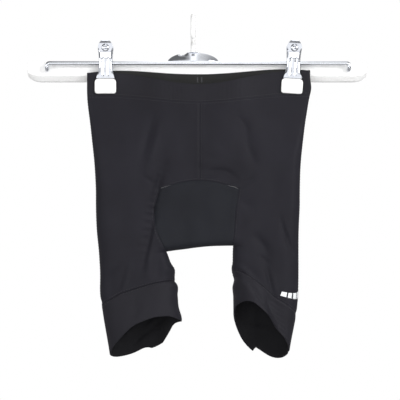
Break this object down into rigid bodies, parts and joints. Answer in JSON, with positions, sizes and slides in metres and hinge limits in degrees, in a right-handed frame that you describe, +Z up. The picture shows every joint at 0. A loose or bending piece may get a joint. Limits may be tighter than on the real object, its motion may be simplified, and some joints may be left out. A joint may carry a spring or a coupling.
{
  "type": "cycling shorts on a clip hanger",
  "caption": "Knee-length knit cycling shorts with a seamed crotch panel and deep leg bands, hung flat by the waistband from the clips of a bar hanger.",
  "frame": {"origin": "inside top of the hanger's hook, where a rail or wall hook carries it", "axes": "+Z up, -Y towards the garment's front, +X towards the wearer's left"},
  "size_m": [0.4, 0.0563, 0.404],
  "materials": {
    "elastane_knit": "matt black knit with a faint sheen",
    "gusset_knit": "matt black knit",
    "band_knit": "matt black doubled knit",
    "white_plastic": "glossy",
    "pad_plastic": "satin",
    "chrome": "polished"
  },
  "bodies": {
    "root": {"back_left": "elastane_knit", "back_right": "elastane_knit", "clip_leaf_back_left": "chrome", "clip_leaf_back_right": "chrome", "clip_leaf_front_left": "chrome", "clip_leaf_front_right": "chrome", "clip_pad_back_left": "pad_plastic", "clip_pad_back_right": "pad_plastic", "clip_pad_front_left": "pad_plastic", "clip_pad_front_right": "pad_plastic", "clip_rivet_left": "chrome", "clip_rivet_right": "chrome", "crotch_gusset": "gusset_knit", "front_left": "elastane_knit", "front_right": "elastane_knit", "hanger_bar": "white_plastic", "hanger_cap": "chrome", "hanger_hook": "white_plastic", "hanger_rod": "chrome", "hem_band_left": "band_knit", "hem_band_right": "band_knit", "waistband": "band_knit"}
  },
  "joints": []
}
